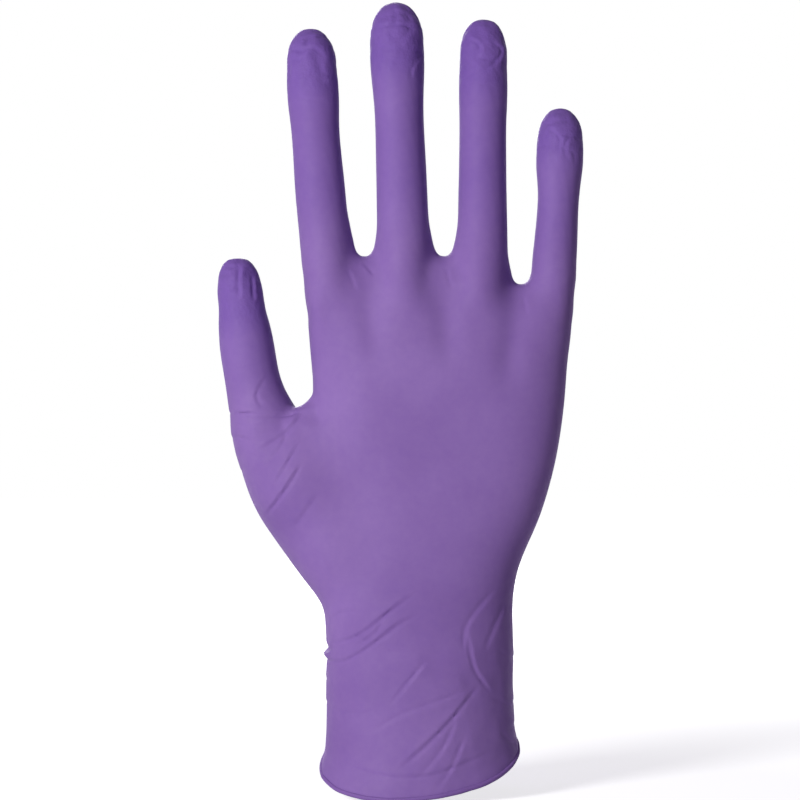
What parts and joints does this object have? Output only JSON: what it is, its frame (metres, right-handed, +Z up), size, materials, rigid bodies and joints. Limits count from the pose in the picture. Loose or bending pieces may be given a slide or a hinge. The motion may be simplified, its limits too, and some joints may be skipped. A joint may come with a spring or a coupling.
{
  "type": "disposable nitrile glove",
  "caption": "Thin violet disposable glove shown in its worn shape, upright with fingers spread; the stalls, knuckles, thumb and wrist bend and the cuff has a slim rolled edge.",
  "frame": {"origin": "middle of the wrist opening, in the plane of the cuff's rim", "axes": "+Z up along the middle finger, -Y towards the side that lies over the back of the hand, -X towards the thumb"},
  "size_m": [0.1107, 0.0455, 0.239],
  "materials": {
    "nitrile_film": "matte",
    "rolled_bead": "matte"
  },
  "bodies": {
    "cuff": {"cuff_bead": "rolled_bead", "cuff_sleeve": "nitrile_film"},
    "hand": {"wrist_flex_band": "nitrile_film", "hand_shell": "nitrile_film"},
    "knuckles": {"knuckle_flex_band": "nitrile_film", "finger_root_shell": "nitrile_film"},
    "index_base": {"index_root_flex_band": "nitrile_film", "index_base_stall": "nitrile_film"},
    "index_middle": {"index_middle_flex_band": "nitrile_film", "index_middle_stall": "nitrile_film"},
    "index_end": {"index_tip_flex_band": "nitrile_film", "index_fingertip": "nitrile_film"},
    "middle_base": {"middle_root_flex_band": "nitrile_film", "middle_base_stall": "nitrile_film"},
    "middle_middle": {"middle_middle_flex_band": "nitrile_film", "middle_middle_stall": "nitrile_film"},
    "middle_end": {"middle_tip_flex_band": "nitrile_film", "middle_fingertip": "nitrile_film"},
    "ring_base": {"ring_root_flex_band": "nitrile_film", "ring_base_stall": "nitrile_film"},
    "ring_middle": {"ring_middle_flex_band": "nitrile_film", "ring_middle_stall": "nitrile_film"},
    "ring_end": {"ring_tip_flex_band": "nitrile_film", "ring_fingertip": "nitrile_film"},
    "little_base": {"little_root_flex_band": "nitrile_film", "little_base_stall": "nitrile_film"},
    "little_middle": {"little_middle_flex_band": "nitrile_film", "little_middle_stall": "nitrile_film"},
    "little_end": {"little_tip_flex_band": "nitrile_film", "little_fingertip": "nitrile_film"},
    "thumb_base": {"thumb_root_flex_band": "nitrile_film", "thumb_base_stall": "nitrile_film"},
    "thumb_end": {"thumb_tip_flex_band": "nitrile_film", "thumb_tip_stall": "nitrile_film"}
  },
  "joints": [
    {"name": "wrist_bend", "type": "hinge", "parent": "cuff", "child": "hand", "pos_m": [0, 0, 0.042], "axis": [-1, 0, 0], "range_deg": [-55, 55], "deforming": ["wrist_flex_band"]},
    {"name": "knuckle_bend", "type": "hinge", "parent": "hand", "child": "knuckles", "pos_m": [0, 0, 0.128], "axis": [-1, 0, 0], "range_deg": [-15, 75], "deforming": ["knuckle_flex_band"]},
    {"name": "index_root_bend", "type": "hinge", "parent": "knuckles", "child": "index_base", "pos_m": [-0.02856, 0.00029, 0.15566], "axis": [-1, 0, 0], "range_deg": [-10, 30], "deforming": ["index_root_flex_band"]},
    {"name": "index_middle_bend", "type": "hinge", "parent": "index_base", "child": "index_middle", "pos_m": [-0.0303, 0.0012, 0.174], "axis": [-1, 0, 0], "range_deg": [0, 85], "deforming": ["index_middle_flex_band"]},
    {"name": "index_tip_bend", "type": "hinge", "parent": "index_middle", "child": "index_end", "pos_m": [-0.03196, 0.00326, 0.196], "axis": [-1, 0, 0], "range_deg": [0, 55.3], "deforming": ["index_tip_flex_band"]},
    {"name": "middle_root_bend", "type": "hinge", "parent": "knuckles", "child": "middle_base", "pos_m": [-0.00499, -0.00041, 0.15575], "axis": [-1, 0, 0], "range_deg": [-10, 30], "deforming": ["middle_root_flex_band"]},
    {"name": "middle_middle_bend", "type": "hinge", "parent": "middle_base", "child": "middle_middle", "pos_m": [-0.0057, 0.0008, 0.1785], "axis": [-1, 0, 0], "range_deg": [0, 85], "deforming": ["middle_middle_flex_band"]},
    {"name": "middle_tip_bend", "type": "hinge", "parent": "middle_middle", "child": "middle_end", "pos_m": [-0.0066, 0.00295, 0.2025], "axis": [-1, 0, 0], "range_deg": [0, 55.3], "deforming": ["middle_tip_flex_band"]},
    {"name": "ring_root_bend", "type": "hinge", "parent": "knuckles", "child": "ring_base", "pos_m": [0.01879, -0.00011, 0.15567], "axis": [-1, 0, 0], "range_deg": [-10, 30], "deforming": ["ring_root_flex_band"]},
    {"name": "ring_middle_bend", "type": "hinge", "parent": "ring_base", "child": "ring_middle", "pos_m": [0.0189, 0.001, 0.176], "axis": [-1, 0, 0], "range_deg": [0, 85], "deforming": ["ring_middle_flex_band"]},
    {"name": "ring_tip_bend", "type": "hinge", "parent": "ring_middle", "child": "ring_end", "pos_m": [0.01905, 0.00295, 0.198], "axis": [-1, 0, 0], "range_deg": [0, 55.3], "deforming": ["ring_tip_flex_band"]},
    {"name": "little_root_bend", "type": "hinge", "parent": "knuckles", "child": "little_base", "pos_m": [0.04022, 0.00079, 0.14643], "axis": [-1, 0, 0], "range_deg": [-10, 30], "deforming": ["little_root_flex_band"]},
    {"name": "little_middle_bend", "type": "hinge", "parent": "little_base", "child": "little_middle", "pos_m": [0.0414, 0.0015, 0.163], "axis": [-1, 0, 0], "range_deg": [0, 85], "deforming": ["little_middle_flex_band"]},
    {"name": "little_tip_bend", "type": "hinge", "parent": "little_middle", "child": "little_end", "pos_m": [0.04208, 0.00275, 0.178], "axis": [-1, 0, 0], "range_deg": [0, 55.3], "deforming": ["little_tip_flex_band"]},
    {"name": "thumb_root_bend", "type": "hinge", "parent": "hand", "child": "thumb_base", "pos_m": [-0.04937, 0.00377, 0.10908], "axis": [-0.9848, 0, -0.1736], "range_deg": [-10, 45], "deforming": ["thumb_root_flex_band"]},
    {"name": "thumb_tip_bend", "type": "hinge", "parent": "thumb_base", "child": "thumb_end", "pos_m": [-0.05254, 0.00373, 0.12628], "axis": [-0.9848, 0, -0.1736], "range_deg": [0, 70], "deforming": ["thumb_tip_flex_band"]}
  ],
  "couplings": [
    {"joint": "index_tip_bend", "follows": "index_middle_bend", "ratio": 0.65},
    {"joint": "middle_tip_bend", "follows": "middle_middle_bend", "ratio": 0.65},
    {"joint": "ring_tip_bend", "follows": "ring_middle_bend", "ratio": 0.65},
    {"joint": "little_tip_bend", "follows": "little_middle_bend", "ratio": 0.65}
  ]
}
